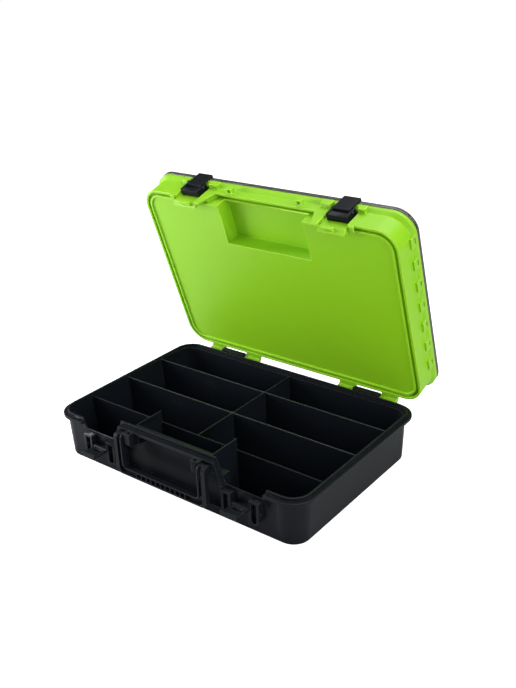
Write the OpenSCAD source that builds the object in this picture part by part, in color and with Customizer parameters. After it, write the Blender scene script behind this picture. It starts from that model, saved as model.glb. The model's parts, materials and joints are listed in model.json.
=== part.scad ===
// Two-sided tackle case: a black compartment tray with a carrying handle, and a
// lime lid that is a second, shallower tray with its own dark cover.
// Millimetres. +X is the case's right, -Y the handle side, +Z up. The origin is the
// centre of the rim's plan, on the plane that the case stands on. Every piece of the
// lid is drawn as it lies when the case is shut, and is then swung up about the hinge.

/* [Case] */
// Width over the base rim
case_w = 380; // [300:1:460]
// Depth over the base rim, front to back
case_d = 257; // [210:1:320]
// Height of the base rim's flange above the ground
base_h = 57.5; // [50:0.5:80]
// Height of the lid, from its lip to the seat of the cover
lid_h = 36.2; // [32:0.2:60]
// Corner radius of the base rim, seen from above
corner_r = 29; // [24:1:40]
// Thickness of the moulded walls
wall = 2.4; // [1.6:0.1:3]
// Angle that the lid stands open at, measured from shut
lid_open = 72; // [0:1:90]

/* [Rim] */
// How far the flange stands out from the side and front walls
flange_out = 5.4; // [4:0.2:8]
// Thickness of the flange
flange_t = 3.5; // [2.5:0.1:5]
// How far the rear wall lies inside the flange's edge
rear_shelf = 10.9; // [8:0.1:14]
// Height of the upright tongue above the flange
tongue_h = 3.7; // [2.5:0.1:5]
// Lean of the outer walls from top to bottom
draft = 3.1; // [0:0.1:5]
// Gap between the flange and the lid's lip when shut
lip_gap = 0.3; // [0.2:0.1:0.8]

/* [Compartments] */
// Height of the dividers' top edge below the flange's top
divider_drop = 0.3; // [0:0.1:10]
// Thickness of a divider
divider_t = 1.6; // [1.2:0.1:2.4]
// Spacing of the three rows of dividers, front to back
row_pitch = 65.6; // [50:0.1:75]
// Half width of the middle bay behind the handle, to the centre of its side walls
bay_x = 59.3; // [50:0.1:60]
// Height of the bay's side walls above the flange
bay_rise = 14.3; // [8:0.1:16]

/* [Front] */
// Height of the raised middle of the rim above the flange
raise_h = 16; // [10:0.5:20]
// Half width of the raised middle at its top
raise_x = 73.4; // [72:0.1:76]
// Outer end of each latch notch in the rim
notch_x = 142; // [138:0.5:146]
// Depth of the latch notches below the flange's top
notch_drop = 10; // [8:0.5:12]
// Half width of the hand recess
recess_x = 79; // [76:0.5:80]
// Depth of the hand recess behind the front wall
recess_d = 11; // [6:0.5:16]
// Height of the hand recess's floor above the ground
recess_z = 12; // [8:0.5:18]

/* [Handle] */
// Half width over the handle's legs
handle_x = 70.3; // [66:0.1:71]
// Width of each leg
leg_w = 11.7; // [9:0.1:12]
// Thickness of the handle, front to back
handle_t = 6.7; // [5:0.1:7]
// Height of the grip
grip_h = 10; // [8:0.5:14]
// Drop from the pivot to the underside of the grip
handle_drop = 46.5; // [36:0.5:50]
// Number of cells moulded in the grip
grip_cells = 10; // [4:1:14]

/* [Latches] */
// Centre of each latch from the middle of the case
latch_x = 109.6; // [108:0.1:111]
// Width of a base latch lever
lever_w = 22; // [18:0.5:23]
// Reach of a base latch lever from its pivot to its tip
lever_l = 22.7; // [20:0.1:24]
// Diameter of the latch and handle pins
pin_d = 3; // [2:0.1:3.2]

/* [Lid] */
// Half width of the pocket that clears the bay
pocket_x = 63.6; // [62:0.1:66]
// Height of the pocket's roof above the lip
pocket_z = 22.2; // [21.4:0.1:25]
// Number of divider slots along each side
slot_n = 7; // [5:1:7]
// Spacing of the divider slots
slot_pitch = 29.7; // [20:0.1:32]
// Width of the housing round each slot
slot_w = 13.5; // [8:0.5:16]
// Thickness of the cover's edge
cover_edge = 5.1; // [4:0.1:8]

/* [Hidden] */

fit = 0.05;          // radial clearance of a pin in its bore
gap = 0.3;           // clearance between moulded faces that pass or seat on each other
tongue_gap = 0.8;    // clearance round the tongue inside the lid's groove
corner_seg = 10;     // flats in a quarter of a rounded corner
far = 200;           // reaches past any wall that is cut
past = 1;            // how far a cut reaches past a face, or a joined piece into its neighbour
thin = 0.5;          // thickness of the slabs at the ends of a hull

hx = case_w / 2;
hy = case_d / 2;

// Base walls, at the height of the flange's top
wall_x = hx - flange_out;
wall_y = hy - flange_out;
wall_b = hy - rear_shelf;
inner_x = wall_x - wall;
inner_y = wall_y - wall;
inner_b = wall_b - wall;
wall_r = corner_r - flange_out;
draft_y = draft * 2 / 3;
foot_h = 2;
flange_under = base_h - flange_t;
tongue_z = base_h + tongue_h;

// Compartments
divider_z = base_h - divider_drop;
row_shift = 1.6;
row_mid = (inner_b - inner_y) / 2 - row_shift;
row_y = [row_mid - row_pitch, row_mid, row_mid + row_pitch];
guide_t = 1.4;
guide_out = 1.8;
bay_z = base_h + bay_rise;

// Raised and notched front of the rim
raise_z = base_h + raise_h;
raise_run = 11.2;
raise_tip = raise_z + tongue_h + 0.9;
raise_foot = raise_x + raise_run;
tongue_corner = raise_x - 0.4;
notch_z = base_h - notch_drop;
notch_in = raise_foot + 0.6;
notch_out = notch_x - 3.5;
strip_foot = notch_z - 1.5;
strip_t = flange_t * 1.08;
tongue_lean = (notch_in - tongue_corner) / (raise_tip - notch_z);

// Hand recess
recess_y = -(wall_y - recess_d);
recess_roof = divider_z - wall;
throat_x = 45;
throat_roof = bay_z - wall;
recess_corner = 5;

// Handle
pivot_y = -(hy + 4.7);
pivot_z = base_h + 7;
ear_r = 6.6;
handle_front = pivot_y - 6.8;
handle_r = 8;
handle_inner_r = 5;
pin_wall = 1;
pin_cap = 2;
leg_in = handle_x - leg_w;
block_x = leg_in - 0.4;
block_w = 10.6;
block_front = pivot_y - 3;
block_top = raise_z - gap;
block_chin = 6;
block_chamfer = 3;
block_under = 9.6;
grip_under = pivot_z - handle_drop;
grip_top = grip_under + grip_h;
rib = 1.5;
outer_rib = 2;
leg_rib = 5.1;
channel_d = 4;
channel_r = 6;
channel_inner_r = 6.5;
cell_setback = 0.4;
cell_pitch = 7.6;
eye = 4.2;
eye_x = block_x - block_w / 2 - 1.1;
eye_y = block_front + 1.6;
eye_depth = 4.5;

// Base latches
cheek_t = 3.5;
cheek_x = 12.4;
lever_window = 14;
window_near = 4;
window_far = 9.5;
pad_x = 26.4;
pad_front = -(hy + 1.3);
pad_bottom = notch_z - 33;
pad_top = notch_z - 3.5;
pad_r = 9;
side_pocket_w = 7;
side_pocket_r = 3.4;
side_pocket_edge = 2.5;
latch_y = -(hy - 1.4);
latch_z = notch_z - 17;
plate_t = 2.8;
plate_under = 1.8;
barrel_r = 2.9;
tip_h = 3;
tip_t = 2.2;

// Lid, as it lies when shut
lip_z = base_h + lip_gap;
seat_z = lip_z + lid_h;
lid_x = hx - 1.6;
lid_y = hy - 1.6;
lid_r = corner_r - 1.6;
groove_x = wall_x + tongue_gap;
groove_y = wall_y + tongue_gap;
groove_r = wall_r + tongue_gap;
ridge_x = inner_x - tongue_gap;
ridge_y = inner_y - tongue_gap;
ridge_r = wall_r - wall - tongue_gap;
ridge_t = 2.6;
panel_x = ridge_x - ridge_t;
panel_y = ridge_y - ridge_t;
panel_r = ridge_r - ridge_t;
groove_roof = tongue_z + tongue_gap;
panel_z = lip_z + 2;
tray_z = panel_z + wall;
seat_out = 3.2;
seat_r = corner_r - 2;
flare_z = seat_z - 9;
flange_z = seat_z - 4.5;
seat_wall = 2.6;
flare_up = 1;
pocket_roof = lip_z + pocket_z;
pocket_back = row_y[0] + 6.4;
pocket_lip = bay_z + 2.7;
apron_z = notch_z + tongue_gap;
apron_y = wall_y - gap;
apron_drop = 3.7;
apron_t = 4.5;
rail_up = 8;
rail_w = 3;
bay_in = 18.6;
bay_out = 17.4;
bay_top = flare_z;
strike_w = 14.7;
strike_x = -3.4;
strike_drop = 1;
strike_root = 3.3;
strike_front = latch_y + plate_t - plate_under + gap;
strike_top = latch_z + lever_l - tip_t - gap;
boss_z = seat_z - 12;
boss_h = 9;
boss_out = 5.6;
boss_in_w = 14;
boss_out_w = 9;
boss_lap = 1.8;
stop_w = 6;
stop_x = notch_out - 8.5;
lug_h = 6.5;
lug_side = 2.2;

// Divider slots of the lid's tray
slot_mid = -8.9;
slot_floor = seat_z - 13;
slot_skin = 1.5;
window_up = 5.5;
window_h = 2.5;
window_w = 0.6;
window_reach = 0.4;
tray_div_t = 1.8;
tray_div_z = seat_z - 2;
slot_end = lid_x + 1.6;

// Main hinge
hinge_y = hy + 5.8;
hinge_z = base_h - 5.6;
hinge_r = 4.2;
hinge_pin_d = 3;
knuckle = [66, 90.2, 90.6, 128.6, 129, 152];
tab_in = 3;
leaf_in = 1.5;
leaf_inset = 0.2;
leaf_chamfer = 1.2;
leaf_z = base_h + 2.1;

// Cover and its hinge
cover_z = seat_z + 0.2;
cover_top = cover_z + cover_edge;
cover_x = lid_x + seat_out;
cover_f = -(lid_y + seat_out + 0.9);
cover_b = lid_y + seat_out - 0.1;
cover_skin = 2.2;
cover_rim = 3.4;
cover_pin_y = lid_y + seat_out + 3.4;
cover_pin_z = seat_z + 1.2;
cover_knuckle_r = 3;
cover_pin_d = 2.4;
cover_knuckle = [84, 96, 96.4, 123.6, 124, 136];
cover_tab_t = 3.8;

// Cover latches
catch_y = -(hy + 1.5);
catch_z = seat_z - 16.5;
catch_w = 22.4;
catch_r = 3;
catch_in = cover_f - gap;
catch_out = catch_in - 2.5;
catch_low = catch_z - 2.6;
hook_z = cover_top + gap;
hook_t = 1.6;
hook_back = cover_f + 2.5;
bracket_w = 27.9;
bracket_t = 2.5;
bracket_plate = 2.2;
bracket_floor = 2;
catch_window = 8.4;
hook_lip = 0.7;
pin_set = 0.2;
bracket_back = -(apron_y + gap);
bracket_front = catch_y - 2.3;
bracket_bar = catch_y - 1.2;
bracket_low = catch_z - 13.1;
bracket_bar_top = catch_z - 5.2;
bracket_top = catch_z + 6;

black = "#1c1e20";
lime = "#9bd22e";
smoke = "#4a4d4b";
steel = "#b8bcc0";

// ---------------------------------------------------------------- shapes

function quarter(cx, cy, r, a) =
    [for (i = [0:corner_seg])
        [cx + r * cos(a + 90 * i / corner_seg), cy + r * sin(a + 90 * i / corner_seg)]];

// Rounded rectangle from -x to x and from f to b
function rounded(x, f, b, r) =
    concat(quarter(x - r, b - r, r, 0), quarter(-x + r, b - r, r, 90),
           quarter(-x + r, f + r, r, 180), quarter(x - r, f + r, r, 270));

// Adds the mirror image to the right half of a front outline
function both(p) = concat([for (i = [len(p) - 1:-1:0]) [-p[i][0], p[i][1]]], p);

// Line along the top of the tongue at the front, moved up and outwards by c
function tongue_line(c) =
    [[tongue_corner + c, raise_tip + c], [notch_in + c, notch_z + c],
     [notch_out - c, notch_z + c], [notch_x - c, tongue_z + c]];

module slab(x, f, b, r, z0, z1) {
    translate([0, 0, z0]) linear_extrude(z1 - z0) polygon(rounded(x, f, b, r));
}

// Extrudes a front outline, in x and z, from y0 to y1
module front(p, y0, y1) {
    translate([0, y1, 0]) rotate([90, 0, 0]) linear_extrude(y1 - y0) polygon(p);
}

// Extrudes a side outline, in y and z, from x0 to x1
module side(p, x0, x1) {
    translate([x0, 0, 0]) rotate([90, 0, 90]) linear_extrude(x1 - x0) polygon(p);
}

module box(x0, x1, y0, y1, z0, z1) {
    translate([x0, y0, z0]) cube([x1 - x0, y1 - y0, z1 - z0]);
}

// A round bar along x
module bar(x0, x1, y, z, r) {
    translate([x0, y, z]) rotate([0, 90, 0]) cylinder(r = r, h = x1 - x0, $fn = 48);
}

module both_sides() {
    children();
    mirror([1, 0, 0]) children();
}

module swung_lid() {
    translate([0, hinge_y, hinge_z]) rotate([-lid_open, 0, 0]) translate([0, -hinge_y, -hinge_z])
        children();
}

// Outline with a flat top at z1 and round corners at the bottom, z0
function bowl(x0, x1, z0, z1, r) =
    concat([[x0, z1]], quarter(x0 + r, z0 + r, r, 180), quarter(x1 - r, z0 + r, r, 270), [[x1, z1]]);

// ---------------------------------------------------------------- base

module base_outside(top) {
    hull() {
        slab(wall_x - draft, -(wall_y - draft_y), wall_b - draft_y, wall_r - draft, 0, foot_h);
        slab(wall_x, -wall_y, wall_b, wall_r, flange_under, top);
    }
}

module base_inside() {
    r = wall_r - wall;
    hull() {
        slab(inner_x - draft, -(inner_y - draft_y), inner_b - draft_y, r - draft, wall, wall + foot_h);
        slab(inner_x, -inner_y, inner_b, r, flange_under, far);
    }
}

module rim() {
    slab(hx, -hy, hy, corner_r, flange_under, base_h);
    difference() {
        slab(wall_x, -wall_y, wall_y, wall_r, base_h - past, tongue_z);
        slab(inner_x, -inner_y, inner_y, wall_r - wall, base_h, tongue_z + past);
    }
}

module raised_front() {
    tongue = [[tongue_corner, raise_tip], [notch_in, notch_z], [notch_in, notch_z - thin]];
    strip = [[raise_x, raise_z], [raise_foot, strip_foot], [raise_foot - strip_t, strip_foot],
             [raise_x - 0.6 * strip_t, raise_z - flange_t]];
    front(both(tongue), -wall_y, -inner_y);
    difference() {
        front(both([strip[0], strip[1]]), -hy, -wall_y + thin);
        front(both([strip[3], strip[2], [strip[2][0], 0]]), -hy - past, -wall_y + past);
    }
}

// Everything above the tongue's line along the front
module above_tongue() {
    front(both(concat(tongue_line(0), [[notch_x, far]])), -hy - past, -inner_y + thin);
}

// Housing of a base latch: two cheeks, each with a pocket beside it
module latch_pad() {
    x0 = cheek_x + cheek_t;
    z0 = pad_bottom + side_pocket_edge;
    z1 = pad_top - side_pocket_edge;
    pocket = bowl(x0, x0 + side_pocket_w, z0, z1, side_pocket_r);
    translate([latch_x, 0, 0]) difference() {
        front(bowl(-pad_x, pad_x, pad_bottom, pad_top, pad_r), pad_front, -inner_y);
        box(-cheek_x, cheek_x, pad_front - past, 0, 0, far);
        for (s = [-1, 1])
            front([for (p = pocket) [s * p[0], p[1]]], pad_front - past, -wall_y - past);
    }
}

module latch_pin_bore() {
    bar(latch_x - pad_x, latch_x + pad_x, latch_y, latch_z, pin_d / 2 + fit);
}

module eye_hole(z0, z1) {
    box(eye_x - eye / 2, eye_x + eye / 2, eye_y, eye_y + eye, z0, z1);
}

module pivot_block() {
    back = -wall_y + past;
    chin = pivot_z - block_chin;
    p = [[back, block_top], [block_front, block_top], [block_front, chin],
         [block_front + block_chamfer, chin - block_chamfer], [back, pivot_z - block_under]];
    difference() {
        side(p, block_x - block_w, block_x);
        eye_hole(block_top - eye_depth, block_top + past);
        bar(block_x - block_w + pin_wall, block_x + past, pivot_y, pivot_z, pin_d / 2 + fit);
    }
}

// Knuckle with a leaf that fills the gap in front of the open lid's edge
module base_knuckle() {
    back = hinge_y + hinge_r - leaf_inset;
    leaf = [[hy - tab_in, flange_under], [hy - tab_in, base_h], [hy + leaf_in, base_h],
            [hy + leaf_in, leaf_z], [back - leaf_chamfer, leaf_z], [back, leaf_z - leaf_chamfer],
            [back, hinge_z], [hinge_y - hinge_r + leaf_inset, hinge_z]];
    difference() {
        union() {
            bar(knuckle[2], knuckle[3], hinge_y, hinge_z, hinge_r);
            side(leaf, knuckle[2], knuckle[3]);
        }
        bar(knuckle[2] - past, knuckle[3] + past, hinge_y, hinge_z, hinge_pin_d / 2 + fit);
    }
}

// Pairs of ribs that hold a lift-out divider at its two ends
module guides() {
    z0 = wall - past;
    wall_rib = [[inner_x - draft - guide_out, z0], [inner_x - guide_out, divider_z],
                [inner_x + past, divider_z], [inner_x + past, z0]];
    for (y = [row_y[1], row_y[2]], s = [-1, 1]) {
        c = y + s * (divider_t / 2 + gap + guide_t / 2);
        front(wall_rib, c - guide_t / 2, c + guide_t / 2);
        box(0, divider_t / 2 + guide_out, c - guide_t / 2, c + guide_t / 2, z0, divider_z);
    }
}

module moulded_walls() {
    t = divider_t / 2;
    z0 = wall - past;
    y0 = -inner_y - past;
    box(-inner_x - past, inner_x + past, row_y[0] - t, row_y[0] + t, z0, divider_z);
    box(-t, t, row_y[0], inner_b + past, z0, divider_z);
    both_sides() box(bay_x - t, bay_x + t, y0, row_y[0] + t, z0, bay_z);
    both_sides() guides();
    recess_back = recess_y + wall;
    box(-bay_x, bay_x, y0, recess_back, throat_roof, bay_z);
    box(-throat_x - wall, throat_x + wall, y0, recess_back, recess_z, bay_z);
    box(-recess_x - wall, recess_x + wall, y0, recess_back, recess_z - wall, divider_z);
}

// Room for the fingers behind the grip
module hand_recess() {
    front(bowl(-recess_x, recess_x, recess_z, recess_roof, recess_corner), -hy - past, recess_y);
    box(-throat_x, throat_x, -wall_y - past, recess_y, recess_z + recess_corner, throat_roof);
}

module base_shell() {
    color(black) difference() {
        union() {
            difference() {
                union() {
                    base_outside(base_h);
                    difference() {
                        rim();
                        box(-notch_in, notch_in, -hy - past, -wall_y, flange_under - past, tongue_z + past);
                    }
                    raised_front();
                    both_sides() latch_pad();
                }
                base_inside();
                above_tongue();
            }
            intersection() {
                base_outside(far);
                moulded_walls();
            }
            both_sides() base_knuckle();
        }
        hand_recess();
        both_sides() latch_pin_bore();
    }
    color(black) both_sides() pivot_block();
}

// A lift-out divider, in the right half of the row at y
module divider(y) {
    x = divider_t / 2 + gap;
    z = wall + gap;
    p = [[x, z], [inner_x - draft - gap, z], [inner_x - draft - gap, wall + foot_h],
         [inner_x - gap, flange_under], [inner_x - gap, divider_z], [x, divider_z]];
    color(black) front(p, y - divider_t / 2, y + divider_t / 2);
}

module divider_rear_right() { divider(row_y[2]); }
module divider_rear_left() { mirror([1, 0, 0]) divider(row_y[2]); }
module divider_middle_right() { divider(row_y[1]); }
module divider_middle_left() { mirror([1, 0, 0]) divider(row_y[1]); }

// ---------------------------------------------------------------- handle

// Channel along the front of the handle, with its cells
module handle_channel() {
    y1 = handle_front + channel_d;
    above = pivot_z + handle_drop;
    difference() {
        front(rounded(handle_x - leg_rib, grip_under + outer_rib, above, channel_r), handle_front - past, y1);
        front(rounded(leg_in + rib, grip_top - rib, 2 * above, channel_inner_r),
              handle_front - 2 * past, y1 + past);
        for (i = [0:grip_cells])
            translate([(i - grip_cells / 2) * cell_pitch, 0, 0])
                box(-rib / 2, rib / 2, handle_front + cell_setback, y1 + past, 0, grip_top);
    }
}

module handle() {
    y1 = handle_front + handle_t;
    above = pivot_z + handle_drop;
    color(black) difference() {
        union() {
            difference() {
                front(rounded(handle_x, grip_under, above, handle_r), handle_front, y1);
                front(rounded(leg_in, grip_top, 2 * above, handle_inner_r), handle_front - past, y1 + past);
                box(-hx, hx, handle_front - past, y1 + past, pivot_z, far);
            }
            both_sides() bar(leg_in, handle_x, pivot_y, pivot_z, ear_r);
        }
        handle_channel();
        both_sides() bar(leg_in - past, handle_x - pin_cap, pivot_y, pivot_z, pin_d / 2 + fit);
    }
}

module handle_pin() {
    color(steel) bar(block_x - block_w + pin_wall + gap, handle_x - pin_cap - gap, pivot_y, pivot_z,
                     pin_d / 2);
}

module handle_pin_right() { handle_pin(); }
module handle_pin_left() { mirror([1, 0, 0]) handle_pin(); }

// ---------------------------------------------------------------- base latches

module base_latch() {
    w = lever_w / 2;
    tip_y = latch_y - lever_l;
    z0 = latch_z - plate_under;
    z1 = z0 + plate_t;
    plate = [[latch_y, z0], [latch_y, z1], [tip_y + tip_t, z1], [tip_y + tip_t, z1 + tip_h],
             [tip_y, z1 + tip_h], [tip_y, z0]];
    color(black) translate([latch_x, 0, 0]) difference() {
        union() {
            bar(-w, w, latch_y, latch_z, barrel_r);
            side(plate, -w, w);
        }
        bar(-w - past, w + past, latch_y, latch_z, pin_d / 2 + fit);
        box(-lever_window / 2, lever_window / 2, latch_y - window_far, latch_y - window_near, 0, far);
    }
}

module base_latch_pin() {
    x = cheek_x + cheek_t - gap;
    color(steel) bar(latch_x - x, latch_x + x, latch_y, latch_z, pin_d / 2);
}

module base_latch_right() { base_latch(); }
module base_latch_left() { mirror([1, 0, 0]) base_latch(); }
module base_latch_pin_right() { base_latch_pin(); }
module base_latch_pin_left() { mirror([1, 0, 0]) base_latch_pin(); }

// ---------------------------------------------------------------- hinge

module hinge_pin() {
    color(steel) bar(knuckle[0] + gap, knuckle[5] - gap, hinge_y, hinge_z, hinge_pin_d / 2);
}

module hinge_pin_right() { hinge_pin(); }
module hinge_pin_left() { mirror([1, 0, 0]) hinge_pin(); }

// ---------------------------------------------------------------- lid

module lid_outside() {
    y = lid_y + seat_out;
    slab(lid_x, -lid_y, lid_y, lid_r, lip_z, flare_z + thin);
    hull() {
        slab(lid_x, -lid_y, lid_y, lid_r, flare_z, flare_z + thin);
        slab(cover_x, -y, y, seat_r, flange_z, flange_z + thin);
    }
    slab(cover_x, -y, y, seat_r, flange_z, seat_z);
}

// Room inside the tray, open upwards
module tray_room() {
    x = cover_x - seat_wall;
    y = lid_y + seat_out - seat_wall;
    r = seat_r - seat_wall;
    flare = flare_z + flare_up;
    edge = flange_z + flare_up;
    slab(panel_x, -panel_y, panel_y, panel_r, tray_z, seat_z + past);
    slab(groove_x, -groove_y, groove_y, groove_r, groove_roof + wall, flare + thin);
    hull() {
        slab(groove_x, -groove_y, groove_y, groove_r, flare, flare + thin);
        slab(x, -y, y, r, edge, edge + thin);
    }
    slab(x, -y, y, r, edge, seat_z + past);
}

// Groove that takes the base's tongue
module groove() {
    difference() {
        slab(groove_x, -groove_y, groove_y, groove_r, lip_z - past, groove_roof);
        slab(ridge_x, -ridge_y, ridge_y, ridge_r, lip_z - 2 * past, groove_roof + past);
    }
}

// Walls round the raised middle of the base's rim
module rim_tunnel() {
    top = raise_tip + tongue_gap + wall;
    foot = tray_z - past;
    x = raise_x + tongue_gap + wall;
    front(both([[x, top], [x + (top - foot) * tongue_lean, foot]]), -lid_y, -panel_y);
}

// Room for the raised middle of the base's rim
module tongue_room() {
    t = tongue_line(tongue_gap);
    front(both([t[0], t[1], [t[1][0], 0]]), -groove_y, -ridge_y);
}

// Room for the flange along the raised middle
module flange_room() {
    front(both([[raise_x + gap, raise_z + gap], [raise_foot + gap, strip_foot], [raise_foot + gap, 0]]),
          -far, -groove_y);
}

// Rail that follows the flange down to the latch bay
module slanted_rail() {
    x = latch_x - bay_in;
    front([[raise_x, lip_z + rail_up], [x, lip_z + rail_up], [x, apron_z], [raise_foot - rail_w, apron_z]],
          -lid_y, -groove_y);
}

// Wall behind a latch bay
module bay_wall() {
    box(latch_x - bay_in - wall, latch_x + bay_out + wall, -lid_y, -(apron_y - seat_wall),
        groove_roof, bay_top + wall);
}

module latch_bay() {
    box(latch_x - bay_in, latch_x + bay_out, -far, -apron_y, 0, bay_top);
}

// Apron that fills the notch in the base's rim, with the strike of the base latch
module apron() {
    p = [[-apron_y, groove_roof + past], [-apron_y, apron_z + apron_drop], [-(apron_y - apron_t), apron_z],
         [-panel_y, apron_z], [-panel_y, groove_roof + past]];
    low = notch_z - strike_drop;
    root = -(apron_y - strike_root);
    strike = [[strike_front, low], [-(wall_y + gap), low], [-(wall_y + gap), apron_z],
              [root, apron_z], [root, strike_top], [strike_front, strike_top]];
    x = latch_x + strike_x;
    side(p, latch_x - bay_in, latch_x + bay_out);
    side(strike, x - strike_w / 2, x + strike_w / 2);
}

// Blocks on the front of the lid: a stop in the notch, guards beside the cover
// latch, and the lug over the pivot block with its eye
module front_blocks() {
    y0 = -(lid_y + boss_out);
    y1 = -lid_y + past;
    left = latch_x - bay_in;
    right = latch_x + bay_out;
    box(stop_x, stop_x + stop_w, -lid_y, -ridge_y + past, lip_z - rail_w, groove_roof + past);
    box(left - boss_in_w, left, y0, y1, boss_z, boss_z + boss_h);
    box(right - boss_lap, right + boss_out_w, y0, y1, boss_z, boss_z + boss_h);
    difference() {
        box(block_x - block_w, block_x - lug_side, block_front, y1, raise_z + gap, raise_z + lug_h);
        eye_hole(raise_z - past, raise_z + lug_h + past);
    }
}

function slot_y(i) = slot_mid + (i - (slot_n - 1) / 2) * slot_pitch;

module slot_housings() {
    for (i = [0:slot_n - 1])
        box(lid_x - past, cover_x, slot_y(i) - slot_w / 2, slot_y(i) + slot_w / 2,
            slot_floor - slot_skin, flange_z + thin);
}

module slots() {
    t = tray_div_t / 2 + gap;
    w = window_w * slot_w / 2;
    z0 = slot_floor + window_up;
    for (i = [0:slot_n - 1]) translate([0, slot_y(i), 0]) {
        box(groove_x - past, slot_end, -t, t, slot_floor, seat_z + past);
        box(slot_end - window_reach, cover_x + past, -w, w, z0, z0 + window_h);
    }
}

module lid_knuckles() {
    tab = [[lid_y - 2, lip_z], [hy + 0.8, lip_z], [hinge_y - hinge_r + 0.6, hinge_z + 1],
           [hinge_y, hinge_z], [hinge_y + hinge_r - 0.6, hinge_z + 2], [hinge_y - 1, lip_z + 2.5],
           [lid_y - 2, lip_z + 6]];
    difference() {
        for (i = [0, 4]) {
            bar(knuckle[i], knuckle[i + 1], hinge_y, hinge_z, hinge_r);
            side(tab, knuckle[i], knuckle[i + 1]);
        }
        bar(knuckle[0] - past, knuckle[5] + past, hinge_y, hinge_z, hinge_pin_d / 2 + fit);
    }
}

module seat_knuckles() {
    difference() {
        for (i = [0, 4]) {
            bar(cover_knuckle[i], cover_knuckle[i + 1], cover_pin_y, cover_pin_z, cover_knuckle_r);
            box(cover_knuckle[i], cover_knuckle[i + 1], lid_y + seat_out - past, cover_pin_y,
                flange_z + thin, seat_z - gap);
        }
        bar(cover_knuckle[0] - past, cover_knuckle[5] + past, cover_pin_y, cover_pin_z, cover_pin_d / 2 + fit);
    }
}

module lid_shell() {
    color(lime) swung_lid() union() {
        difference() {
            union() {
                difference() {
                    lid_outside();
                    tray_room();
                    slab(panel_x, -panel_y, panel_y, panel_r, lip_z - past, panel_z);
                }
                rim_tunnel();
                box(-pocket_x - wall, pocket_x + wall, -lid_y + past, pocket_back + wall,
                    panel_z, pocket_roof + wall);
                both_sides() {
                    slanted_rail();
                    bay_wall();
                    front_blocks();
                    slot_housings();
                }
            }
            groove();
            tongue_room();
            flange_room();
            box(-pocket_x, pocket_x, -panel_y, pocket_back, lip_z - past, pocket_roof);
            box(-pocket_x, pocket_x, -ridge_y - past, -panel_y + past, lip_z - past, pocket_lip);
            both_sides() {
                latch_bay();
                slots();
            }
        }
        both_sides() {
            apron();
            lid_knuckles();
            seat_knuckles();
        }
    }
}

// A long divider that drops into the slots at y
module tray_divider(i) {
    floor_z = groove_roof + wall + gap;
    p = [[panel_x - gap, tray_z + gap], [panel_x - gap, floor_z], [groove_x - gap, floor_z],
         [groove_x - gap, slot_floor + gap], [slot_end - gap, slot_floor + gap], [slot_end - gap, tray_div_z]];
    color(smoke) swung_lid() front(both(p), slot_y(i) - tray_div_t / 2, slot_y(i) + tray_div_t / 2);
}

module tray_divider_front() { tray_divider(slot_n - 5); }
module tray_divider_middle() { tray_divider(slot_n - 3); }
module tray_divider_rear() { tray_divider(slot_n - 1); }

// ---------------------------------------------------------------- cover

module cover() {
    tab_x = [cover_knuckle[2], cover_knuckle[3]];
    color(smoke) swung_lid() difference() {
        union() {
            slab(cover_x, cover_f, cover_b, seat_r, cover_z, cover_top);
            both_sides() {
                bar(tab_x[0], tab_x[1], cover_pin_y, cover_pin_z, cover_knuckle_r);
                box(tab_x[0], tab_x[1], cover_b - past, cover_pin_y, cover_z, cover_z + cover_tab_t);
            }
        }
        slab(cover_x - cover_rim, cover_f + cover_rim, cover_b - cover_rim, seat_r - cover_rim,
             cover_z - past, cover_top - cover_skin);
        both_sides() bar(tab_x[0] - past, tab_x[1] + past, cover_pin_y, cover_pin_z, cover_pin_d / 2 + fit);
    }
}

module cover_hinge_pin() {
    color(steel) bar(cover_knuckle[0] + gap, cover_knuckle[5] - gap, cover_pin_y, cover_pin_z, cover_pin_d / 2);
}

module cover_hinge_pin_right() { swung_lid() cover_hinge_pin(); }
module cover_hinge_pin_left() { swung_lid() mirror([1, 0, 0]) cover_hinge_pin(); }

// ---------------------------------------------------------------- cover latches

module cover_latch_bracket() {
    w = bracket_w / 2;
    color(black) translate([latch_x, 0, 0]) difference() {
        union() {
            box(-w, w, bracket_back - bracket_plate, bracket_back, bracket_low, bracket_top);
            box(-w, w, bracket_bar, bracket_back, bracket_low, bracket_low + bracket_floor);
            box(-w, w, bracket_bar, bracket_bar + bracket_plate, bracket_low, bracket_bar_top);
            for (s = [-1, 1]) translate([s * (w - bracket_t / 2), 0, 0])
                box(-bracket_t / 2, bracket_t / 2, bracket_front, bracket_back, bracket_low, bracket_top);
        }
        bar(-w - past, w + past, catch_y, catch_z, cover_pin_d / 2 + fit);
    }
}

module cover_latch() {
    w = catch_w / 2;
    lever = [[catch_out, catch_low], [catch_out, hook_z + hook_t], [hook_back, hook_z + hook_t],
             [hook_back, hook_z], [catch_in, hook_z], [catch_in, catch_low]];
    color(black) translate([latch_x, 0, 0]) difference() {
        union() {
            side(lever, -w, w);
            bar(-w, w, catch_y, catch_z, catch_r);
        }
        bar(-w - past, w + past, catch_y, catch_z, cover_pin_d / 2 + fit);
        box(-catch_window / 2, catch_window / 2, catch_in + gap, hook_back - hook_lip,
            hook_z - past, hook_z + hook_t + past);
    }
}

module cover_latch_pin() {
    x = bracket_w / 2 - pin_set;
    color(steel) bar(latch_x - x, latch_x + x, catch_y, catch_z, cover_pin_d / 2);
}

module cover_latch_bracket_right() { swung_lid() cover_latch_bracket(); }
module cover_latch_bracket_left() { swung_lid() mirror([1, 0, 0]) cover_latch_bracket(); }
module cover_latch_right() { swung_lid() cover_latch(); }
module cover_latch_left() { swung_lid() mirror([1, 0, 0]) cover_latch(); }
module cover_latch_pin_right() { swung_lid() cover_latch_pin(); }
module cover_latch_pin_left() { swung_lid() mirror([1, 0, 0]) cover_latch_pin(); }

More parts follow.
